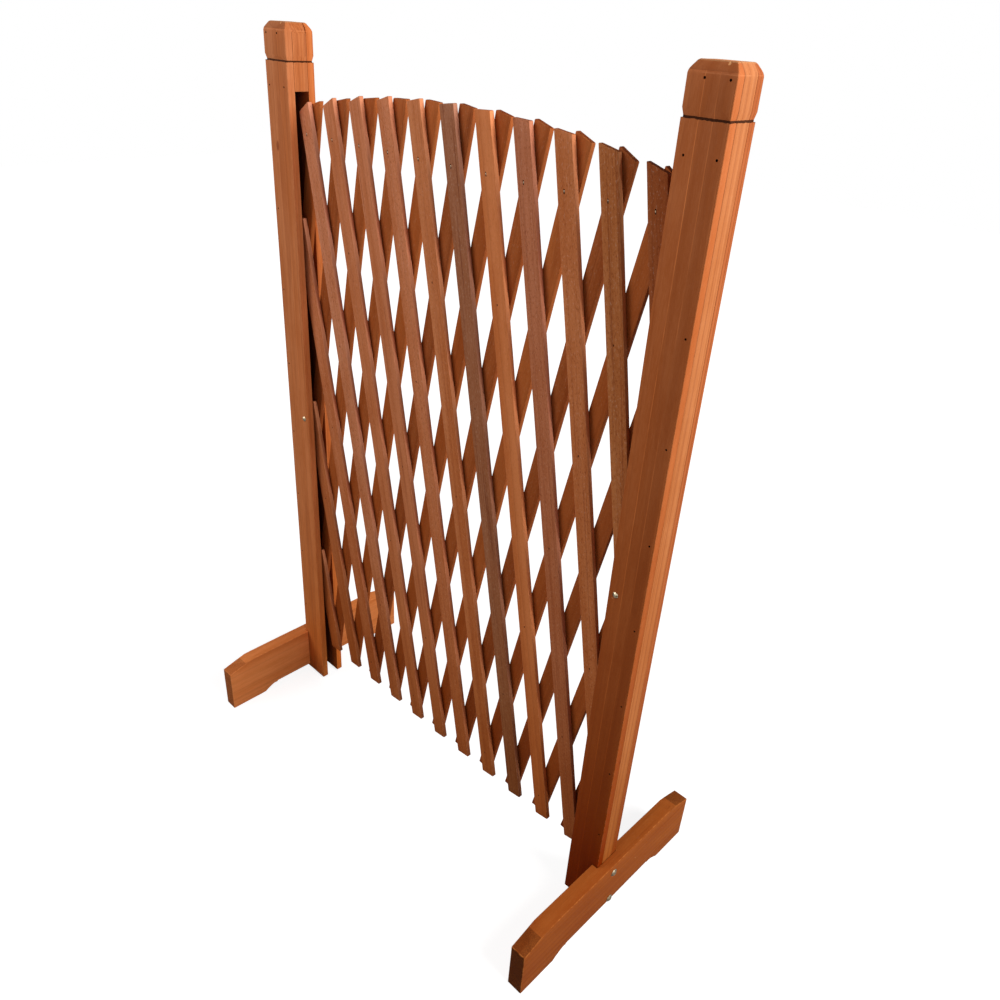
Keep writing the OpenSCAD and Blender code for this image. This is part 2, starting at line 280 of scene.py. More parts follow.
def build_grain_group():
    tree, given, result = new_group(
        "stained_grain", ("Dark", "Body", "Light"), ("Ring Spacing", "Rings", "Streaks", "Fuzz", "Seed"),
        ("Height", "Roughness"))
    steps = {axis: times(tree, given["Seed"], step) for axis, step in enumerate((0.37, 0.53, 1.71))}
    shift = add_node(tree, "CombineXYZ", steps).outputs[0]
    place = vector_node(tree, "ADD", {0: given["Vector"], 1: shift})[0]
    late = late_wood(tree, given, place)

    # fibres, streaks and stain taken up unevenly
    broad = fibre_noise(tree, place, 0.02, 70.0, 2.0)
    streak = fibre_noise(tree, place, 0.014, 380.0, 3.0, 0.6)
    fibre = fibre_noise(tree, place, 0.06, 1500.0, 2.0, 0.6)
    blotch = fibre_noise(tree, place, 0.3, 30.0, 3.0, 0.6)
    tone = plus(tree, times(tree, broad, 0.5), times(tree, blotch, 0.5))
    tone = plus(tree, tone, times(tree, minus(tree, fibre, 0.5), 0.35))
    color = mix(tree, remap(tree, tone, 0.32, 0.7), given["Body"], given["Light"])
    pale_streak = times(tree, remap(tree, streak, 0.44, 0.3), given["Streaks"])
    color = mix(tree, times(tree, pale_streak, 0.7), color, given["Light"])
    dark_streak = times(tree, remap(tree, streak, 0.5, 0.72), given["Streaks"])
    color = mix(tree, larger(tree, late, times(tree, dark_streak, 0.8)), color, given["Dark"])

    # torn fibres that stand up: pale specks with dark pits between them
    fuzz = fibre_noise(tree, place, 0.5, 560.0, 3.0, 0.7)
    pale = times(tree, remap(tree, fuzz, 0.56, 0.72), given["Fuzz"])
    pit = times(tree, remap(tree, fuzz, 0.46, 0.3), given["Fuzz"])
    hair = mix(tree, 0.5, given["Light"], TORN_FIBRE)
    color = mix(tree, times(tree, pale, 0.3), color, hair)
    color = mix(tree, times(tree, pit, 0.5), color, given["Dark"])

    # a few small knots
    knot = scattered_spots(tree, mapped(tree, place, (1.0, 1.0, 0.5)), 11.0, 0.022, 0.045, 0, 0.86)
    color = mix(tree, times(tree, knot, 0.65), color, given["Dark"])

    height = plus(tree, times(tree, streak, 0.3), times(tree, fibre, 0.35))
    height = plus(tree, height, times(tree, fuzz, given["Fuzz"]))
    height = minus(tree, height, times(tree, late, 0.2))
    rough = plus(tree, remap(tree, fibre, 0.35, 0.7, 0.5, 0.62), times(tree, given["Fuzz"], 0.16))
    rough = plus(tree, rough, times(tree, minus(tree, blotch, 0.5), 0.25), clamp=True)
    for label, value in (("Color", color), ("Height", height), ("Roughness", rough)):
        tree.links.new(value, result[label])
    return tree


def build_nick_group():
    """Small chips, and scratches that run aslant, through the stain down to paler wood."""
    tree, given, result = new_group(
        "nicks_and_scratches", ("Color", "Bare Wood"), ("Amount", "Rarity"), ("Depth",))
    wobble = noise_node(tree, given["Vector"], 220.0, output="Color")
    bend = vector_node(tree, "SCALE", {0: wobble, "Scale": 0.004})[0]
    bent = vector_node(tree, "ADD", {0: given["Vector"], 1: bend})[0]
    marks = 0.0
    for turn, scale, near, far, rare in (
            ((0.0, 0.0, 0.0), (26.0, 26.0, 14.0), 0.022, 0.04, 0.62),
            ((0.5, 0.9, 0.0), (34.0, 34.0, 5.0), 0.012, 0.03, 0.72)):
        vector = mapped(tree, mapped(tree, bent, turn=turn), scale)
        rare = plus(tree, given["Rarity"], rare)
        marks = larger(tree, marks, scattered_spots(tree, vector, 1.0, near, far, 1, rare))
    marks = times(tree, marks, given["Amount"], clamp=True)
    tree.links.new(mix(tree, marks, given["Color"], given["Bare Wood"]), result["Color"])
    tree.links.new(marks, result["Depth"])
    return tree


def build_edge_group():
    """Cut ends with open pores; narrow sides made paler as painted light; eased edges paler in patches, from
    wear and as a painted highlight; and painted shade where marked.
    """
    tree, given, result = new_group(
        "edge_wear_painted_light_and_shade", ("Color", "Paler Wood", "End Grain"),
        ("Edge", "End", "Painted Shade", "Side Light", "Amount"), ("Roughness Added",))
    pores = remap(tree, noise_node(tree, given["Vector"], 1300.0, 2.0, 0.6), 0.35, 0.65, 0.35, 1.0)
    cut_end = times(tree, given["End"], times(tree, pores, 0.95))
    color = mix(tree, cut_end, given["Color"], given["End Grain"])
    # Painted light: narrow sides made unevenly paler where marked
    uneven = remap(tree, noise_node(tree, given["Vector"], 45.0), 0.3, 0.7, 0.75, 1.0)
    color = mix(tree, times(tree, given["Side Light"], uneven), color, given["Paler Wood"])
    # Eased edges paler in patches, from wear and as a painted highlight
    patchy = remap(tree, noise_node(tree, given["Vector"], 160.0, 3.0, 0.6), 0.4, 0.62)
    edge_paling = times(tree, times(tree, given["Edge"], patchy), given["Amount"])
    color = mix(tree, edge_paling, color, given["Paler Wood"])
    # Painted shade: near black where marked, in holes, pits, seams, the kerf and the channel
    color = mix(tree, times(tree, given["Painted Shade"], 0.92), color, PAINTED_SHADE_COLOR)
    tree.links.new(color, result["Color"])
    tree.links.new(times(tree, given["End"], 0.2), result["Roughness Added"])
    return tree


def build_low_shade_group():
    """Painted shade: colour darkened towards the floor, where less light falls; with more spread it reaches
    further up.
    """
    tree, given, result = new_group("darker_towards_floor", ("Color", "Shade"), ("Amount", "Spread"))
    height = add_node(tree, "SeparateXYZ", {0: given["Vector"]}).outputs[2]
    near_floor = remap(tree, height, 0.0, 0.42, 1.0, 0.0)
    further_up = remap(tree, height, 0.35, 1.0, 1.0, 0.0, smooth=False)
    low = remap(tree, given["Spread"], 0.0, 1.0, near_floor, further_up, smooth=False)
    factor = times(tree, low, given["Amount"], clamp=True)
    shaded = mix(tree, 1.0, given["Color"], given["Shade"], "MULTIPLY")
    tree.links.new(mix(tree, factor, given["Color"], shaded), result["Color"])
    return tree


def build_planed_group():
    """Planed strips with thin pale lines between them. X runs from a board's inner to its outer edge."""
    tree, given, result = new_group("planed_strips", ("Color",), ("Strips", "Lines", "Broad Face"))
    sway = noise_node(tree, mapped(tree, given["Vector"], (0.0, 0.0, 3.0)), 1.0)
    across = add_node(tree, "SeparateXYZ", {0: given["Vector"]}).outputs[0]
    across = plus(tree, across, times(tree, minus(tree, sway, 0.5), 0.004))
    second = remap(tree, across, 0.0175, 0.0195, 0.0, 0.6)
    third = remap(tree, across, 0.031, 0.034, 0.0, 0.4)
    shade = times(tree, times(tree, plus(tree, second, third), given["Strips"]), given["Broad Face"])
    darker = mix(tree, 1.0, given["Color"], PLANED_DARKER, "MULTIPLY")
    color = mix(tree, shade, given["Color"], darker)
    lines = 0.0
    for at, strength in ((0.0183, 1.0), (0.0325, 0.6), (0.0465, 0.35)):
        near = math_node(tree, "ABSOLUTE", minus(tree, across, at))
        lines = larger(tree, lines, times(tree, remap(tree, near, 0.0001, 0.0006, 1.0, 0.0), strength))
    broken = noise_node(tree, mapped(tree, given["Vector"], (20.0, 20.0, 9.0)), 1.0, 3.0, 0.65)
    lines = times(tree, times(tree, lines, remap(tree, broken, 0.33, 0.6)), given["Lines"])
    lines = times(tree, lines, given["Broad Face"])
    paler = mix(tree, 1.0, given["Color"], PLANED_PALER, "MULTIPLY")
    tree.links.new(mix(tree, lines, color, paler), result["Color"])
    return tree


GRAIN, NICKS, EDGES = build_grain_group(), build_nick_group(), build_edge_group()
LOW_SHADE, PLANED = build_low_shade_group(), build_planed_group()


def planed_color(tree, place, color, start, direction, strips, lines):
    sideways = mapped(tree, place, (direction, 1.0, 1.0), (start, 0.0, 0.0))
    return group_node(tree, PLANED, {
        "Vector": sideways, "Color": color, "Strips": strips, "Lines": lines,
        "Broad Face": face_mark(tree, "broad_face")})["Color"]


def low_shaded(tree, place, color, shade, amount, spread=0.38):
    return group_node(tree, LOW_SHADE, {
        "Vector": place, "Color": color, "Shade": shade, "Amount": amount, "Spread": spread})["Color"]


def new_material(name):
    material = bpy.data.materials.new(name)
    material.use_nodes = True
    tree = material.node_tree
    place = add_node(tree, "TexCoord").outputs["Object"]
    return material, tree, tree.nodes["Principled BSDF"], place


def add_bump(tree, shader, height, strength, distance):
    bump = add_node(tree, "Bump", {"Height": height, "Strength": strength, "Distance": distance})
    tree.links.new(bump.outputs[0], shader.inputs["Normal"])


def wood(name, tone, spacing, rings, streaks, fuzz, seed, pith, edge, nicks, turn=(0.0, 0.0, 0.0),
         bump=0.3, rarity=0.0, end_grain=None, planed=None, low_shade=0.0, low_color=PAINTED_LOW_SHADE_FACTORS,
         spread=0.38, painted_low_hue=0.0, shade_turn=(0.0, 0.0, 0.0), shade_shift=0.0):
    """Stained wood. Its tone is how it took the stain, and for some parts painted shade too; the low shade
    settings paint shade, darker and shifted in hue, towards the floor. Turn and pith are how it was cut from
    its tree.
    """
    dark, body, light = (tinted(stain, *tone) for stain in (STAIN_DARK, STAIN_BODY, STAIN_LIGHT))
    material, tree, shader, place = new_material(name)
    shader.inputs["Specular IOR Level"].default_value = 0.05
    fibres = mapped(tree, place, shift=(-pith[0], -pith[1], 0.0), turn=turn)
    grain = group_node(tree, GRAIN, {
        "Vector": fibres, "Dark": dark, "Body": body, "Light": light, "Ring Spacing": spacing,
        "Rings": rings, "Streaks": streaks, "Fuzz": fuzz, "Seed": seed})
    color = grain["Color"]
    if planed:
        color = planed_color(tree, place, color, *planed)
    # Painted shade: darker, and shifted in hue, towards the floor
    if low_shade:
        height = mapped(tree, place, shift=(0.0, 0.0, shade_shift), turn=shade_turn)
        color = low_shaded(tree, height, color, low_color, low_shade, spread)
    if painted_low_hue:
        color = low_shaded(tree, place, color, PAINTED_LOW_HUE_FACTORS, painted_low_hue)
    edge_marks = group_node(tree, EDGES, {
        "Vector": place, "Color": color, "Paler Wood": tinted(light, 1.15, 1.25, 1.4),
        "End Grain": end_grain or tinted(dark, 0.5, 0.5, 0.5), "Edge": face_mark(tree, "worn_and_lit"),
        "End": face_mark(tree, "end_grain"), "Painted Shade": face_mark(tree, "painted_shade"),
        "Side Light": face_mark(tree, "painted_side_light"), "Amount": edge})
    chipped = group_node(tree, NICKS, {
        "Vector": fibres, "Color": edge_marks["Color"], "Bare Wood": BARE_WOOD, "Amount": nicks,
        "Rarity": rarity})
    tree.links.new(chipped["Color"], shader.inputs["Base Color"])
    roughness = plus(tree, grain["Roughness"], edge_marks["Roughness Added"], clamp=True)
    tree.links.new(roughness, shader.inputs["Roughness"])
    add_bump(tree, shader, minus(tree, grain["Height"], chipped["Depth"]), bump, 0.0006)
    return material


# Metal
def metal(name, base, stain, roughness, shine=1.0):
    material, tree, shader, place = new_material(name)
    cloud = noise_node(tree, place, 420.0, 4.0, 0.6)
    fine = noise_node(tree, place, 2600.0, 2.0, 0.6)
    dirt = remap(tree, cloud, 0.42, 0.68)
    rough = remap(tree, fine, 0.3, 0.7, roughness - 0.08, roughness + 0.12)
    tree.links.new(mix(tree, dirt, base, stain), shader.inputs["Base Color"])
    tree.links.new(rough, shader.inputs["Roughness"])
    tree.links.new(remap(tree, cloud, 0.5, 0.75, shine, shine * 0.6), shader.inputs["Metallic"])
    add_bump(tree, shader, fine, 0.15, 0.0002)
    return material


zinc = metal("zinc_plate", rgb(206, 190, 160), rgb(120, 96, 66), 0.26)
old_steel = metal("stained_steel", rgb(176, 150, 124), rgb(84, 54, 34), 0.42, 0.9)
brad_steel = metal("sunk_brad_steel", rgb(40, 24, 16), rgb(24, 13, 8), 0.6, 0.5)


# Mesh helpers
def cuts(low, high, step):
    count = max(1, round((high - low) / step))
    return [low + (high - low) * n / count for n in range(1, count)]


def clamped(share):
    return min(1.0, max(0.0, share))


def slice_mesh(mesh, axis, values):
    normal = Vector((0, 0, 0))
    normal[axis] = 1
    for value in values:
        bmesh.ops.bisect_plane(
            mesh, geom=mesh.verts[:] + mesh.edges[:] + mesh.faces[:], dist=MERGE, plane_co=normal * value,
            plane_no=normal)


def ease_edges(mesh, width, segments, angle, choose=None, edge_marks=1.0, dark=0.0):
    """Rounds the sharp edges that choose() picks, and gives the new faces their amounts of paleness, from
    wear and as a painted highlight, and of painted shade.
    """
    sharp = [
        e for e in mesh.edges
        if len(e.link_faces) == 2 and e.calc_face_angle(0) > math.radians(angle)
        and (choose is None or choose((e.verts[0].co + e.verts[1].co) / 2))]
    made = bmesh.ops.bevel(
        mesh, geom=sharp, offset=width, offset_type="OFFSET", segments=segments, profile=0.5,
        affect="EDGES", clamp_overlap=True, material=-1)
    worn_and_lit, painted_shade = mesh.faces.layers.float["worn_and_lit"], mesh.faces.layers.float["painted_shade"]
    for face in made["faces"]:
        face[worn_and_lit] = edge_marks
        face[painted_shade] = dark


def start_mesh():
    mesh = bmesh.new()
    for key in FACE_MARKS:
        mesh.faces.layers.float.new(key)
    return mesh


def move_mesh(mesh, matrix):
    bmesh.ops.transform(mesh, matrix=matrix, verts=mesh.verts)


def mesh_object(mesh, name):
    data = bpy.data.meshes.new(name)
    mesh.to_mesh(data)
    mesh.free()
    return add_object(name, data)


def block(low, high):
    mesh = start_mesh()
    bmesh.ops.create_cube(mesh, size=1.0)
    low, high = Vector(low), Vector(high)
    bmesh.ops.scale(mesh, vec=high - low, verts=mesh.verts)
    bmesh.ops.translate(mesh, vec=(low + high) / 2, verts=mesh.verts)
    return mesh


def roughen(mesh, seed, amount, along=2):
    """Small waves of a sawn board, always inwards, longer along the grain."""
    mesh.normal_update()
    shift = Vector((seed * 3.1, seed * 1.7, seed * 2.3))
    moves = []
    for vert in mesh.verts:
        spot = vert.co.copy()
        spot[along] *= 0.15
        wave = noise.noise(spot * 95 + shift) * 0.5 + noise.noise(spot * 260 + shift) * 0.3
        moves.append(vert.normal * -amount * (0.5 + wave))
    for vert, move in zip(mesh.verts, moves):
        vert.co += move


def along_axis(start, axis):
    """A placement that turns Z to the axis."""
    return Matrix.Translation(start) @ axis.to_track_quat("Z", "Y").to_matrix().to_4x4()


def rod(mesh, radius, start, end, segments=16):
    start, end = Vector(start), Vector(end)
    bmesh.ops.create_cone(
        mesh, cap_ends=True, segments=segments, radius1=radius, radius2=radius, depth=(end - start).length,
        matrix=along_axis((start + end) / 2, end - start))


def pebble(mesh, centre, radii, segments=14):
    """A ball drawn out along X, Y and Z."""
    place = Matrix.Translation(centre) @ Matrix.Diagonal((*radii, 1.0))
    bmesh.ops.create_uvsphere(
        mesh, u_segments=segments, v_segments=segments // 2 + 1, radius=1.0, matrix=place)


def turned(mesh, profile, start, axis, steps=24):
    """A turned shape: profile is (radius, distance along the axis) from one end to the other."""
    start, axis = Vector(start), Vector(axis).normalized()
    place = along_axis(start, axis)
    verts = [mesh.verts.new(place @ Vector((radius, 0, along))) for radius, along in profile]
    edges = [mesh.edges.new(pair) for pair in zip(verts, verts[1:])]
    bmesh.ops.spin(
        mesh, geom=verts + edges, cent=start, axis=axis, angle=math.tau, steps=steps, use_merge=True,
        use_duplicate=False)
    bmesh.ops.remove_doubles(mesh, verts=mesh.verts, dist=MERGE)


def bolt(mesh, start, axis, radius, head_radius, head_height, length):
    """A domed head that starts at start and stands out against axis, a shank, and a thread at its end."""
    rim = 0.15 * head_height
    ball = (head_radius ** 2 + (head_height - rim) ** 2) / (2 * (head_height - rim))
    dome = [head_radius * math.sin(step * math.pi / 16) for step in range(9)]
    profile = [(r, -rim - (math.sqrt(ball ** 2 - r ** 2) - (ball - head_height + rim))) for r in dome]
    profile += [(head_radius * 0.985, -rim * 0.4), (head_radius * 0.95, 0.0), (radius, 0.0)]
    along = length - length * 0.35
    while along < length - 0.0006:
        profile += [(radius * 0.86, along), (radius, along + THREAD_PITCH / 2)]
        along += THREAD_PITCH
    profile += [(radius * 0.8, length), (0.0, length)]
    turned(mesh, profile, start, axis)


def hex_nut(mesh, start, axis, across, height):
    """A hexagonal nut with its corners taken off on both faces."""
    start, axis = Vector(start), Vector(axis).normalized()
    corner = across / math.sqrt(3)
    made = bmesh.ops.create_cone(
        mesh, cap_ends=True, segments=6, radius1=corner, radius2=corner, depth=height,
        matrix=along_axis(start + axis * height / 2, axis))
    edges = {edge for vert in made["verts"] for edge in vert.link_edges}
    rims = [edge for edge in edges if abs((edge.verts[0].co - edge.verts[1].co).dot(axis)) < SAME]
    bmesh.ops.bevel(
        mesh, geom=rims, offset=across * 0.055, offset_type="OFFSET", segments=2, profile=0.5,
        affect="EDGES", material=-1)


def end_grain_share(normal, fibres):
    """How much end grain a face shows: all at a cut end, some on a sloped top, none along the fibres."""
    across = abs(normal.dot(fibres))
    if across > 0.75:
        return 1.0
    return 0.6 if 0.2 < across < 0.4 and normal.z > 0.8 else 0.0


def finish_piece(mesh, nodes, body, material, fibres=None):
    """The piece that stands for CAD nodes. Wood gives the direction of its fibres, metal gives none."""
    if fibres is None:
        bmesh.ops.recalc_face_normals(mesh, faces=mesh.faces)
    mesh.normal_update()
    end_layer = mesh.faces.layers.float["end_grain"]
    for face in mesh.faces:
        face[end_layer] = 0.0 if fibres is None else end_grain_share(face.normal, fibres)
        face.smooth = True
    piece = mesh_object(mesh, "trim_" + nodes[0])
    piece.data.materials.append(material)
    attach(piece, body)
    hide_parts(*nodes)
    piece.data.set_sharp_from_angle(angle=SMOOTH_BELOW)
    return piece


def cutting_tool(mesh):
    """Makes a mesh of pins and balls into a tool for apply_cut(). The walls that it leaves get painted shade.
    """
    bmesh.ops.recalc_face_normals(mesh, faces=mesh.faces)
    painted_shade = mesh.faces.layers.float["painted_shade"]
    for face in mesh.faces:
        face[painted_shade] = 1.0
    return mesh_object(mesh, "cutting_tool")


def apply_cut(piece, cutter):
    modifier = piece.modifiers.new("holes", "BOOLEAN")
    modifier.operation = "DIFFERENCE"
    modifier.solver = "EXACT"
    modifier.object = cutter
    graph = bpy.context.evaluated_depsgraph_get()
    evaluated = piece.evaluated_get(graph)
    done = bpy.data.meshes.new_from_object(evaluated, preserve_all_data_layers=True, depsgraph=graph)
    piece.modifiers.clear()
    old = piece.data
    piece.data = done
    done.set_sharp_from_angle(angle=SMOOTH_BELOW)
    bpy.data.meshes.remove(old)


# Slats
SLAT_STEP_ALONG, SLAT_STEP_ACROSS = 0.012, 0.006
# Painted light on the slats' narrow sides, for the front layer (-1) and the back layer (1)
SIDE_PALENESS = {-1: 0.85, 1: 0.35}


def mark_sawn_sides(mesh, length, layer):
    """Painted light: a slat's narrow sides are made paler, most near the top and least near the floor."""
    mesh.normal_update()
    sawn = mesh.faces.layers.float["painted_side_light"]
    for face in mesh.faces:
        if abs(face.normal.x) > 0.9:
            share = clamped(1 + face.calc_center_median().z / length)
            face[sawn] = SIDE_PALENESS[layer] * (0.25 + 0.75 * share)


def slat_mesh(length, upper, lower, layer, seed):
    """A slat from its first crossing at the origin down its own length, with its ends trimmed askew."""
    middle_y = layer * LAYER_Y

    def end_corner(spot):
        return abs(spot.y - middle_y) < SAME and abs(abs(spot.x) - SLAT_W / 2) < SAME

    mesh = block((-SLAT_W / 2, middle_y - SLAT_T / 2, -length), (SLAT_W / 2, middle_y + SLAT_T / 2, 0))
    for vert in mesh.verts:
        side = vert.co.x > 0
        vert.co.z += upper[side] if vert.co.z > -length / 2 else -lower[side]
    ease_edges(mesh, SLAT_CORNER, 3, 25, end_corner, 0.0)
    ease_edges(mesh, SLAT_EASE, 2, 60)
    slice_mesh(mesh, 2, cuts(-length - min(lower), min(upper), SLAT_STEP_ALONG))
    slice_mesh(mesh, 0, cuts(-SLAT_W / 2, SLAT_W / 2, SLAT_STEP_ACROSS))
    roughen(mesh, seed, SAW_WAVE)
    mark_sawn_sides(mesh, length, layer)
    return mesh


def slat_holes(layer, top_row, low_row, first):
    """The rivets' holes along a slat in its own frame, and the pits round their ends in front."""
    mesh = start_mesh()
    for row in range(top_row, low_row + 1):
        z = (top_row - row) * PITCH
        column = first + row if layer < 0 else first - row
        if row == ROWS / 2 and column in (0, COLS):
            rod(mesh, PIVOT_R + RIVET_ROOM, (0, layer * STACK_Y * 1.2, z), (0, 0, z))
        elif layer > 0:
            rod(mesh, RIVET_R + RIVET_ROOM, (0, STACK_Y * 1.2, z), (0, 0, z))
        else:
            rod(mesh, RIVET_R + BLIND_ROOM, (0, RIVET_COVER - STACK_Y, z), (0, 0, z))
            if row == 0:
                pebble(mesh, (CLINCH_ASIDE, -STACK_Y, z), (0.0010, 0.0010, 0.0027))
            elif (first + 2 * row) % 5 < 2:
                pebble(mesh, (CLINCH_ASIDE * 0.8, -STACK_Y, z + 0.001), (0.0008, 0.0007, 0.0014), 10)
    return mesh


def rivet_mesh(top_row, low_row, first):
    """The rivets of a front slat, driven from behind. The top one comes out in front and is bent over."""
    mesh = start_mesh()
    back = STACK_Y + RIVET_GAP
    grip = back + STACK_Y - RIVET_COVER
    profile = [
        (0.0, -RIVET_HEAD_H), (RIVET_HEAD_R * 0.5, -RIVET_HEAD_H * 0.96),
        (RIVET_HEAD_R * 0.85, -RIVET_HEAD_H * 0.7), (RIVET_HEAD_R, -RIVET_HEAD_H * 0.3),
        (RIVET_HEAD_R * 0.97, 0.0), (RIVET_R, 0.0), (RIVET_R, grip - 0.0004), (RIVET_R * 0.7, grip),
        (0.0, grip)]
    for row in range(top_row, low_row + 1):
        if row == ROWS / 2 and first + row in (0, COLS):
            continue
        z = (top_row - row) * PITCH
        turned(mesh, profile, (0, back, z), (0, -1, 0), 16)
        if row == 0:
            pebble(mesh, (CLINCH_ASIDE, 0.0003 - STACK_Y, z), (0.00085, 0.0007, 0.0014))
            pebble(mesh, (CLINCH_ASIDE / 2, 0.0011 - STACK_Y, z), (0.0018, 0.0007, 0.0008))
    return mesh


# Each slat's red, green and blue factors, streaks and fuzz. Front slats took the stain each their own way,
# but slat 14 is darkened as painted shade from the right post, and the back slats' darker factors are painted
# shade behind the front layer.
FRONT_TONES = {
    1: (0.92, 0.95, 1.2, 0.3, 0.6), 2: (0.90, 0.94, 1.2, 0.3, 0.6), 3: (0.98, 1.05, 1.5, 0.2, 0.8),
    4: (1.02, 1.18, 1.9, 0.2, 1.0), 5: (1.02, 1.12, 1.6, 0.35, 0.6), 6: (0.98, 1.06, 1.5, 0.5, 0.7),
    7: (1.02, 1.10, 1.55, 0.3, 1.0), 8: (1.02, 1.10, 1.4, 0.3, 0.7), 9: (0.66, 0.82, 1.35, 0.9, 0.8),
    10: (1.14, 1.16, 1.3, 0.15, 0.4), 11: (0.88, 0.95, 1.45, 0.5, 1.2), 12: (0.98, 1.02, 1.2, 0.5, 1.1),
    13: (0.84, 0.92, 1.0, 0.6, 1.1), 14: (0.55, 0.45, 0.4, 0.4, 0.9)}
BACK_TONES = [
    (0.68, 0.56, 0.45, 0.3, 0.5), (0.76, 0.64, 0.5, 0.2, 0.4), (0.62, 0.51, 0.42, 0.45, 0.6),
    (0.71, 0.58, 0.45, 0.3, 0.45)]


def slat_wood(layer, word, i, middle):
    *tone, streaks, fuzz = FRONT_TONES[i] if layer < 0 else BACK_TONES[i % len(BACK_TONES)]
    # The slats get painted shade, darker and shifted in hue, towards the floor
    return wood(
        f"{word}_slat_wood_{i:02d}", tone, spacing=0.0045, rings=0.25, streaks=streaks, fuzz=fuzz,
        seed=i + 20.0 * (layer + 1), turn=(0.0, -layer * LEAN, 0.0),
        pith=(middle.x + 0.03 * math.sin(i * 2.1), middle.y + 0.05), bump=0.6, edge=0.5, nicks=0.4,
        low_shade=0.55 if layer < 0 else 0.65, painted_low_hue=0.5)


def build_slat(layer, word, i, first, top_row, low_row):
    """Slat i of the front layer (-1) or the back layer (1). A front slat carries its rivets."""
    column, low_column = first - layer * top_row, first - layer * low_row
    origin = crossing(column, top_row)
    upper = slat_end(column, layer, top_row == 0, CROWN_TAIL, CROWN_R)
    lower = slat_end(low_column, -layer, low_row == ROWS, EDGE_TAIL, EDGE_R)
    spin = Matrix.Rotation(layer * LEAN, 4, "Y")
    place = Matrix.Translation(origin) @ spin
    material = slat_wood(layer, word, i, spin.inverted() @ origin)
    body = f"{word}_{i:02d}"
    mesh = slat_mesh((low_row - top_row) * PITCH, upper, lower, layer, i * 2.3 + layer)
    holes = slat_holes(layer, top_row, low_row, first)
    move_mesh(mesh, place)
    move_mesh(holes, place)
    slat = finish_piece(
        mesh, [f"slat_{word}_{i:02d}"], body, material, spin @ Vector((0, 0, 1)))
    tool = cutting_tool(holes)
    apply_cut(slat, tool)
    bpy.data.objects.remove(tool)
    if layer < 0:
        rivets = rivet_mesh(top_row, low_row, first)
        move_mesh(rivets, place)
        finish_piece(rivets, [f"rivets_{i:02d}"], body, old_steel)


for layer, word, span in ((-1, "front", front_span), (1, "back", back_span)):
    for i in range(1, SLATS + 1):
        build_slat(layer, word, i, *span(i))


# Posts
KERF_CUTS = [GROOVE_Z + step for step in (-0.007, -GROOVE_W / 2, -0.0007, 0.0007, GROOVE_W / 2, 0.007)]
CAP_CUTS = [POST_TOP - step for step in (
    0.0125, 0.0113, 0.0102, 0.0092, 0.0082, 0.007, 0.0055, 0.004, 0.0027, 0.0016, 0.001, 0.0006, 0.0003,
    0.0001)]
POST_STEP_ALONG, POST_STEP_ACROSS = 0.03, 0.0024
KERF_HALF, CHIPPED_HALF, KERF_SIDE_SHARE = 0.001, 0.003, 0.55
WORN_BELOW_CAP, WORN_HALF = 0.0014, 0.0007
# Where the channel's painted shade starts, and how far it runs to full strength
CHANNEL_SHADE_START, CHANNEL_SHADE_RUN = 0.003, 0.022
SIDES = ("left", "right")


def post_matrix(side):
    """Takes a post, built round its pivot bolt, to the right side, or mirrored to the left."""
    if side == "right":
        return Matrix.Translation((PIVOT_X, 0, 0))
    return Matrix.Diagonal((-1, 1, 1, 1)) @ Matrix.Translation((PIVOT_X, 0, 0))


def post_holes(matrix):
    """The brads' recesses, and the holes of the pivot bolt and the foot bolts."""
    mesh = start_mesh()
    for x, z in BRADS:
        for face in (-1, 1):
            sunk, outside = face * (POST_D / 2 - BRAD_SINK), face * (POST_D / 2 + 0.001)
            rod(mesh, BRAD_D / 2 + BRAD_ROOM, (x, sunk, z), (x, outside, z), 12)
    rod(mesh, PIVOT_R + BOLT_ROOM, (0, -POST_D, PIVOT_Z), (0, POST_D, PIVOT_Z))
    for z in BOLT_ZS:
        rod(mesh, BOLT_R + BOLT_ROOM, (0, 0, z), (FOOT_OUT + 0.01, 0, z))
    move_mesh(mesh, matrix)
    return cutting_tool(mesh)


def cap_inset(z):
    """How far the head is drawn in at height z: a chamfer with a soft foot and a rounded top edge."""
    slope = CAP_IN / CAP_H
    rise = z - (POST_TOP - CAP_H)
    if rise < -CAP_SOFT:
        return 0.0
    inset = slope * rise if rise > CAP_SOFT else slope * (rise + CAP_SOFT) ** 2 / (4 * CAP_SOFT)
    near_top = clamped((z - POST_TOP + CAP_ROUND) / CAP_ROUND)
    return inset + 0.8 * CAP_ROUND * (1 - math.sqrt(1 - near_top ** 2))


def fit_to_outline(vert):
    """Keeps a point of the post inside its outline, a rectangle with rounded corners."""
    inset = cap_inset(vert.co.z)
    middle = (POST_OUT - POST_IN) / 2
    over_x = abs(vert.co.x - middle) - (POST_W / 2 - inset - POST_EASE)
    over_y = abs(vert.co.y) - (POST_D / 2 - inset - POST_EASE)
    scale = 1.0
    if over_x > 0 and over_y > 0:
        scale = min(1.0, POST_EASE / math.hypot(over_x, over_y))
    if over_x > 0:
        shrink = over_x - min(POST_EASE, over_x * scale)
        vert.co.x -= math.copysign(shrink, vert.co.x - middle)
    if over_y > 0:
        shrink = over_y - min(POST_EASE, over_y * scale)
        vert.co.y -= math.copysign(shrink, vert.co.y)


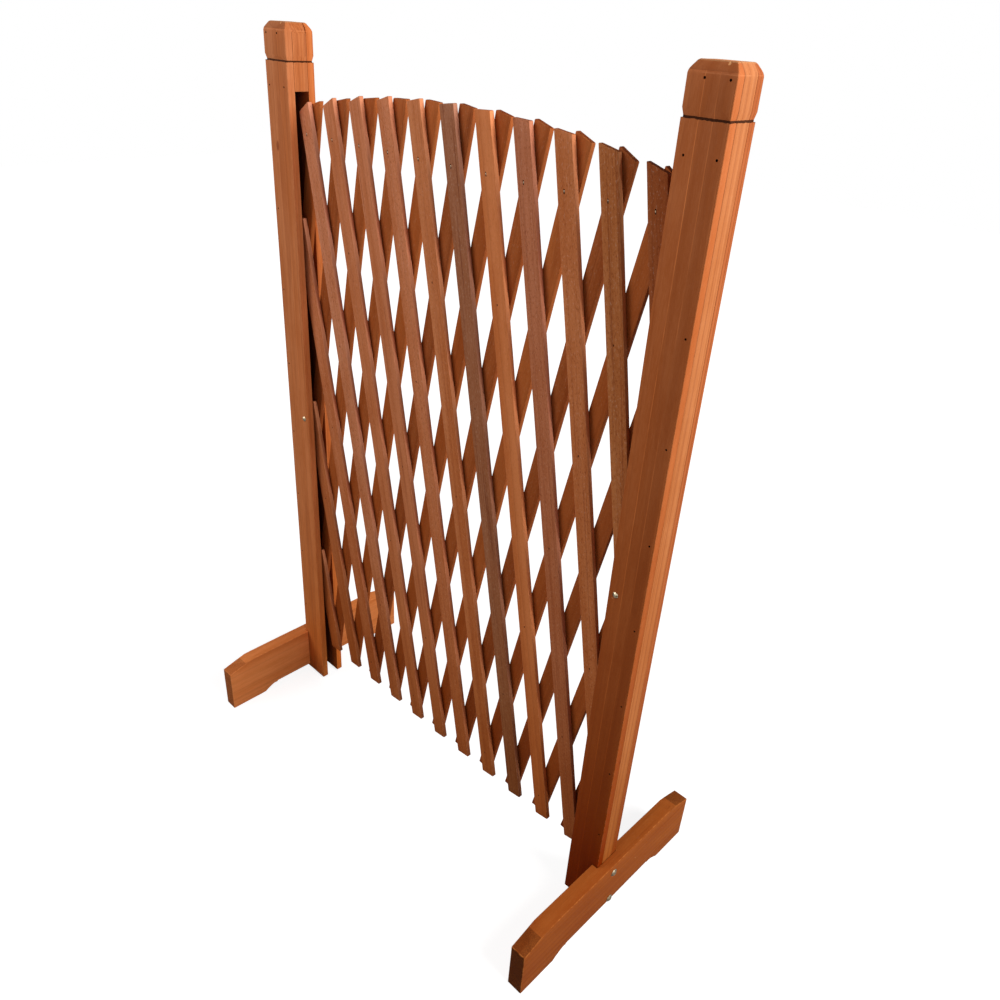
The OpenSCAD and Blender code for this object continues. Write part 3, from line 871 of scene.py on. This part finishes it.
def mark_post_faces(mesh):
    """The cheeks' broad faces, the chamfer's foot, paler from wear and as a painted highlight, and painted
    shade on the chamfer's front face, in the kerf and in the channel.
    """
    mesh.normal_update()
    worn_and_lit, painted_shade, broad = [mesh.faces.layers.float[key] for key in ("worn_and_lit", "painted_shade", "broad_face")]
    for face in mesh.faces:
        spot = face.calc_center_median()
        in_channel = abs(spot.y) < CHANNEL_W / 2 + SEAM_SEEN and spot.x < SPINE_IN + SEAM_SEEN
        face[broad] = float(abs(face.normal.y) > 0.9 and abs(spot.y) > POST_D / 2 - 0.0008)
        if abs(spot.z - POST_TOP + CAP_H + WORN_BELOW_CAP) < WORN_HALF:
            face[worn_and_lit] = 3.0
        elif face.normal.y < -0.4 and spot.z > POST_TOP - CAP_H:
            face[painted_shade] = 0.35
        # Painted shade in the kerf, and in the channel, darkest deep inside
        if abs(spot.z - GROOVE_Z) < GROOVE_W / 2 + 0.0002:
            face[painted_shade] = 1.0
        elif spot.z < CHANNEL_TOP and in_channel:
            face[painted_shade] = 0.9 * clamped((spot.x + POST_IN - CHANNEL_SHADE_START) / CHANNEL_SHADE_RUN)


def cut_kerf(mesh, seed, outer):
    """A saw kerf round the head, with torn edges. It is shallower on the post's inner and outer side."""
    limits = ((outer[0], 0, -1), (outer[1], 0, 1), (outer[2], 1, -1), (outer[3], 1, 1))
    for vert in mesh.verts:
        near = abs(vert.co.z - GROOVE_Z)
        coarse = noise.noise(Vector((vert.co.x, vert.co.y, seed)) * 330)
        chip = coarse + 0.5 * noise.noise(Vector((vert.co.y, vert.co.x, seed)) * 900)
        if near < KERF_HALF:
            vert.co.z += chip * 0.0002
            for limit, axis, sign in limits:
                if limit is not None and abs(vert.co[axis] - limit) < 0.0014:
                    vert.co[axis] -= sign * GROOVE_D * (1.0 if axis else KERF_SIDE_SHARE) * (1 + 0.15 * chip)
        elif near < CHIPPED_HALF:
            vert.co.z += chip * 0.0007


def shape_post_board(low, high, seed, outer, set_back):
    """One board of a post. Its planes in outer, as X and Y limits, are seen. The others lie in seams."""
    mesh = block(low, high)
    at_top, at_foot = high[2] - SAME, low[2] + SAME

    def outer_planes(spot):
        pairs = zip(outer, (spot.x, spot.x, spot.y, spot.y))
        return sum(1 for limit, value in pairs if limit is not None and abs(value - limit) < SAME)

    def outer_corner(spot):
        return spot.z < at_top and outer_planes(spot) + (spot.z < at_foot) >= 2

    def seam(spot):
        return not (spot.z > at_top and outer_planes(spot))

    ease_edges(mesh, POST_EASE, 3, 60, outer_corner)
    # Seams between the boards get painted shade
    ease_edges(mesh, SEAM_EASE, 1, 60, seam, 0.0, 0.3)
    head_cuts = [z for z in KERF_CUTS + CAP_CUTS if low[2] < z]
    slice_mesh(mesh, 2, cuts(low[2], KERF_CUTS[0], POST_STEP_ALONG) + head_cuts)
    slice_mesh(mesh, 0, cuts(low[0], high[0], POST_STEP_ACROSS))
    slice_mesh(mesh, 1, cuts(low[1], high[1], POST_STEP_ACROSS))
    for vert in mesh.verts:
        fit_to_outline(vert)
        if vert.co.x < 0:
            vert.co.x += set_back * clamped((vert.co.z - POST_TOP + 0.012) / 0.002)
    bmesh.ops.remove_doubles(mesh, verts=mesh.verts, dist=2e-6)
    bmesh.ops.dissolve_degenerate(mesh, edges=mesh.edges, dist=1e-6)
    roughen(mesh, seed, SAW_WAVE)
    mark_post_faces(mesh)
    cut_kerf(mesh, seed, outer)
    return mesh


# Each board's own colour factors, streaks, rings, ring spacing, and where its pith lies from its middle.
POST_TONES = {
    ("left", "front_cheek"): (0.98, 1.04, 1.25, 0.3, 0.3, 0.005, 0.004, 0.05),
    ("left", "back_cheek"): (1.12, 1.05, 1.0, 0.45, 0.5, 0.005, -0.01, 0.04),
    ("left", "spine"): (0.9, 0.85, 0.8, 0.3, 0.5, 0.005, 0.0, 0.05),
    ("left", "head_block"): (0.94, 0.94, 1.0, 0.8, 0.7, 0.004, 0.0, 0.05),
    ("right", "front_cheek"): (0.85, 0.80, 0.82, 0.15, 0.2, 0.0055, 0.006, 0.05),
    ("right", "back_cheek"): (0.70, 0.62, 0.62, 0.45, 0.8, 0.0035, -0.01, 0.045),
    ("right", "spine"): (0.86, 0.99, 1.2, 0.4, 0.5, 0.0075, 0.0, 0.05),
    ("right", "head_block"): (0.95, 0.92, 0.9, 0.5, 0.5, 0.004, 0.0, 0.05)}


def post_boards():
    """Each board's opposite corners and outer planes: least and greatest X, then the same in Y."""
    inner, half_y, half_c = -POST_IN, POST_D / 2, CHANNEL_W / 2
    return {
        "front_cheek": (
            (inner, -half_y, POST_LIFT), (POST_OUT, -half_c, POST_TOP), (inner, POST_OUT, -half_y, None)),
        "back_cheek": (
            (inner, half_c, POST_LIFT), (POST_OUT, half_y, POST_TOP), (inner, POST_OUT, None, half_y)),
        "spine": (
            (SPINE_IN, -half_c, POST_LIFT), (POST_OUT, half_c, POST_TOP), (None, POST_OUT, None, None)),
        "head_block": (
            (inner, -half_c, CHANNEL_TOP), (SPINE_IN, half_c, POST_TOP), (inner, None, None, None))}


def post_shade(side, name):
    """The painted shade a board gets towards the floor: how much it darkens and shifts in hue."""
    if side == "left":
        return {"low_shade": 0.8, "low_color": (1.0, 0.78, 0.3, 1.0)}
    if name == "front_cheek":
        return {"low_shade": 0.95, "spread": 0.56, "painted_low_hue": 0.95}
    return {"low_shade": 0.58, "low_color": (0.4, 0.2, 0.0, 1.0), "painted_low_hue": 0.5}


def post_wood(side, name, middle, seed):
    *tone, streaks, rings, spacing, pith_x, pith_y = POST_TONES[side, name]
    strips = (1, 0.4, 0.6) if side == "right" else (-1, 0.2, 0.25)
    return wood(
        f"{side}_{name}_wood", tone, spacing=spacing, rings=rings, streaks=streaks, fuzz=0.12, seed=seed,
        pith=(middle.x + pith_x, middle.y + pith_y), edge=0.15, nicks=0.8, end_grain=POST_ENDS,
        planed=(POST_IN - PIVOT_X, *strips) if "cheek" in name else None, **post_shade(side, name))


def build_post(number, side):
    """Two cheeks, a spine and a head block, glued and pinned."""
    matrix = post_matrix(side)
    tool = post_holes(matrix)
    for count, (name, (low, high, outer)) in enumerate(post_boards().items()):
        seed = number * 11.7 + count * 3.9 + 1
        set_back = HEAD_SET_BACK if (side, name) == ("left", "head_block") else 0.0
        mesh = shape_post_board(low, high, seed, outer, set_back)
        move_mesh(mesh, matrix)
        if side == "left":
            bmesh.ops.reverse_faces(mesh, faces=mesh.faces)
        material = post_wood(side, name, matrix @ ((Vector(low) + Vector(high)) / 2), seed)
        piece = finish_piece(
            mesh, [f"{side}_{name}"], side + "_post", material, Vector((0, 0, 1)))
        if name != "head_block":
            apply_cut(piece, tool)
    bpy.data.objects.remove(tool)


for number, side in enumerate(SIDES):
    build_post(number, side)


# Feet
FOOT_STEP_ALONG, FOOT_STEP_UP, HOUSING_ROOM = 0.012, 0.01, 0.0003
ACROSS_BOARD = (math.radians(90), 0.0, 0.0)
# The right foot's darker tone, its near-black end grain and its low shade, darker towards its front end, are
# painted shade
FOOT_LOOKS = {
    "left": {
        "tone": (1.12, 1.13, 1.05), "end_grain": rgb(120, 58, 26), "spacing": 0.016, "rings": 0.25,
        "streaks": 0.2, "edge": 0.3},
    "right": {
        "tone": (0.62, 0.53, 0.30), "end_grain": rgb(24, 5, 1), "spacing": 0.0095, "rings": 0.45,
        "streaks": 0.35, "edge": 0.6, "rarity": -0.25, "low_shade": 0.35}}


def foot_top(y):
    return FOOT_H - SLOPE_DROP * max(0.0, (abs(y) - (FOOT_L / 2 - SLOPE_L)) / SLOPE_L)


def foot_bottom(y):
    run = clamped((FOOT_L / 2 - PAD_L - abs(y)) / ARCH_RUN)
    return ARCH_RISE * (run * (2 - run) * 0.6 + run * 0.4)


def foot_mesh(seed):
    """A board on edge, housed over the post, with an arch underneath and sloped ends."""
    mesh = start_mesh()
    half, wall = FOOT_L / 2, POST_D / 2 + HOUSING_ROOM
    shoulder, pad = half - SLOPE_L, half - PAD_L
    outline = [
        (FOOT_IN, -half), (FOOT_OUT, -half), (FOOT_OUT, half), (FOOT_IN, half),
        (FOOT_IN, wall), (POST_OUT, wall), (POST_OUT, -wall), (FOOT_IN, -wall)]
    face = mesh.faces.new([mesh.verts.new((x, y, 0)) for x, y in outline])
    grown = bmesh.ops.extrude_face_region(mesh, geom=[face])
    tops = [v for v in grown["geom"] if isinstance(v, bmesh.types.BMVert)]
    bmesh.ops.translate(mesh, vec=(0, 0, FOOT_H), verts=tops)
    bmesh.ops.recalc_face_normals(mesh, faces=mesh.faces)
    stations = [-shoulder, shoulder]
    for start, end in ((-half, -shoulder), (-shoulder, shoulder), (shoulder, half)):
        stations += cuts(start, end, FOOT_STEP_ALONG)
    arch = [sign * (pad - ARCH_RUN * part) for sign in (-1, 1) for part in (0, 0.25, 0.5, 0.75, 1)]
    slice_mesh(mesh, 1, sorted(stations + arch))
    for vert in mesh.verts:
        vert.co.z = foot_top(vert.co.y) if vert.co.z > FOOT_H / 2 else foot_bottom(vert.co.y)
    ease_edges(mesh, POST_EASE, 3, 20)
    slice_mesh(mesh, 2, cuts(0.012, FOOT_H - 0.014, FOOT_STEP_UP))
    roughen(mesh, seed, FOOT_WAVE, along=1)
    return mesh


def foot_wood(number, side, matrix):
    middle = matrix @ Vector(((FOOT_IN + FOOT_OUT) / 2, 0, FOOT_H / 2))
    flip = -1 if side == "left" else 1
    return wood(
        f"{side}_foot_wood", fuzz=0.12, seed=number * 7.0 + 31, turn=ACROSS_BOARD,
        pith=(middle.x - flip * 0.03, -middle.z + 0.07), nicks=1.0, shade_turn=ACROSS_BOARD,
        shade_shift=FOOT_L / 2, **FOOT_LOOKS[side])


def build_foot(number, side):
    mesh = foot_mesh(number * 5.3 + 2)
    matrix = post_matrix(side)
    move_mesh(mesh, matrix)
    if side == "left":
        bmesh.ops.reverse_faces(mesh, faces=mesh.faces)
    material = foot_wood(number, side, matrix)
    foot = finish_piece(mesh, [f"{side}_foot"], side + "_post", material, Vector((0, 1, 0)))
    tool = post_holes(matrix)
    apply_cut(foot, tool)
    bpy.data.objects.remove(tool)


for number, side in enumerate(SIDES):
    build_foot(number, side)


# Bolts and nuts
def build_fasteners(side):
    matrix = post_matrix(side)
    foot_bolts, pivot_bolt, nuts = start_mesh(), start_mesh(), start_mesh()
    foot_grip = FOOT_OUT - SPINE_IN + NUT_H + BOLT_PAST_NUT
    for z in BOLT_ZS:
        bolt(foot_bolts, (FOOT_OUT, 0, z), (-1, 0, 0), BOLT_R, BOLT_HEAD_R, BOLT_HEAD_H, foot_grip)
        hex_nut(nuts, (SPINE_IN, 0, z), (-1, 0, 0), NUT_AF, NUT_H)
    bolt(
        pivot_bolt, (0, -POST_D / 2, PIVOT_Z), (0, 1, 0), PIVOT_R, PIVOT_HEAD_R, PIVOT_HEAD_H,
        POST_D + PIVOT_NUT_H + BOLT_PAST_NUT)
    hex_nut(nuts, (0, POST_D / 2, PIVOT_Z), (0, 1, 0), PIVOT_NUT_AF, PIVOT_NUT_H)
    for mesh, name in ((foot_bolts, "foot_bolts"), (pivot_bolt, "pivot_bolt"), (nuts, "nuts")):
        move_mesh(mesh, matrix)
        finish_piece(mesh, [f"{side}_{name}"], side + "_post", zinc)


for side in SIDES:
    build_fasteners(side)


# Light and floor
WHITE = (1, 1, 1, 1)
WORLD_LIGHT = 0.17


def build_world():
    """White where it is seen, and much weaker as a light."""
    world = bpy.data.worlds.new("studio")
    bpy.context.scene.world = world
    world.use_nodes = True
    tree = world.node_tree
    rays = add_node(tree, "LightPath").outputs
    seen = larger(tree, rays["Is Glossy Ray"], rays["Is Transmission Ray"])
    seen = larger(tree, rays["Is Camera Ray"], seen)
    background = tree.nodes["Background"]
    background.inputs["Color"].default_value = WHITE
    tree.links.new(remap(tree, seen, 0, 1, WORLD_LIGHT, 1.0, smooth=False), background.inputs["Strength"])


def floor_material():
    """Grey paper that takes shadows, with a glow for the camera alone that whitens it further out."""
    paper = bpy.data.materials.new("pale_floor")
    paper.use_nodes = True
    tree = paper.node_tree
    diffuse = add_node(tree, "BsdfDiffuse", {"Color": (0.36, 0.36, 0.36, 1)})
    away = vector_node(tree, "LENGTH", {0: add_node(tree, "TexCoord").outputs["Object"]})["Value"]
    seen = add_node(tree, "LightPath").outputs["Is Camera Ray"]
    strength = times(tree, seen, remap(tree, away, 0.5, 2.2, 0.84, 1.0))
    glow = add_node(tree, "Emission", {"Color": WHITE, "Strength": strength})
    both = add_node(tree, "AddShader", {0: diffuse.outputs[0], 1: glow.outputs[0]})
    tree.links.new(both.outputs[0], tree.nodes["Material Output"].inputs["Surface"])
    return paper


def build_floor():
    mesh = bmesh.new()
    bmesh.ops.create_grid(mesh, x_segments=1, y_segments=1, size=6)
    floor = mesh_object(mesh, "floor")
    floor.data.materials.append(floor_material())


def build_lamp(name, spot, target, power):
    lamp = add_object(name, bpy.data.lights.new(name, "AREA"))
    lamp.data.shape = "DISK"
    lamp.data.size = 1.5
    lamp.data.energy = power
    lamp.location = spot
    lamp.rotation_euler = (Vector(target) - Vector(spot)).to_track_quat("-Z", "Y").to_euler()


build_world()
build_floor()
build_lamp("key", (2.2, 0.25, 2.0), (0, 0, 0.7), 74)
build_lamp("front_fill", (-1.3, -1.8, 2.0), (0, 0, 0.6), 30)
bpy.context.scene.view_settings.view_transform = "Standard"

# Of the CAD pieces, only the sunk brads stay in sight
for cad_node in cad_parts.values():
    if not cad_node.hide_render:
        cad_node.data.materials.clear()
        cad_node.data.materials.append(brad_steel)
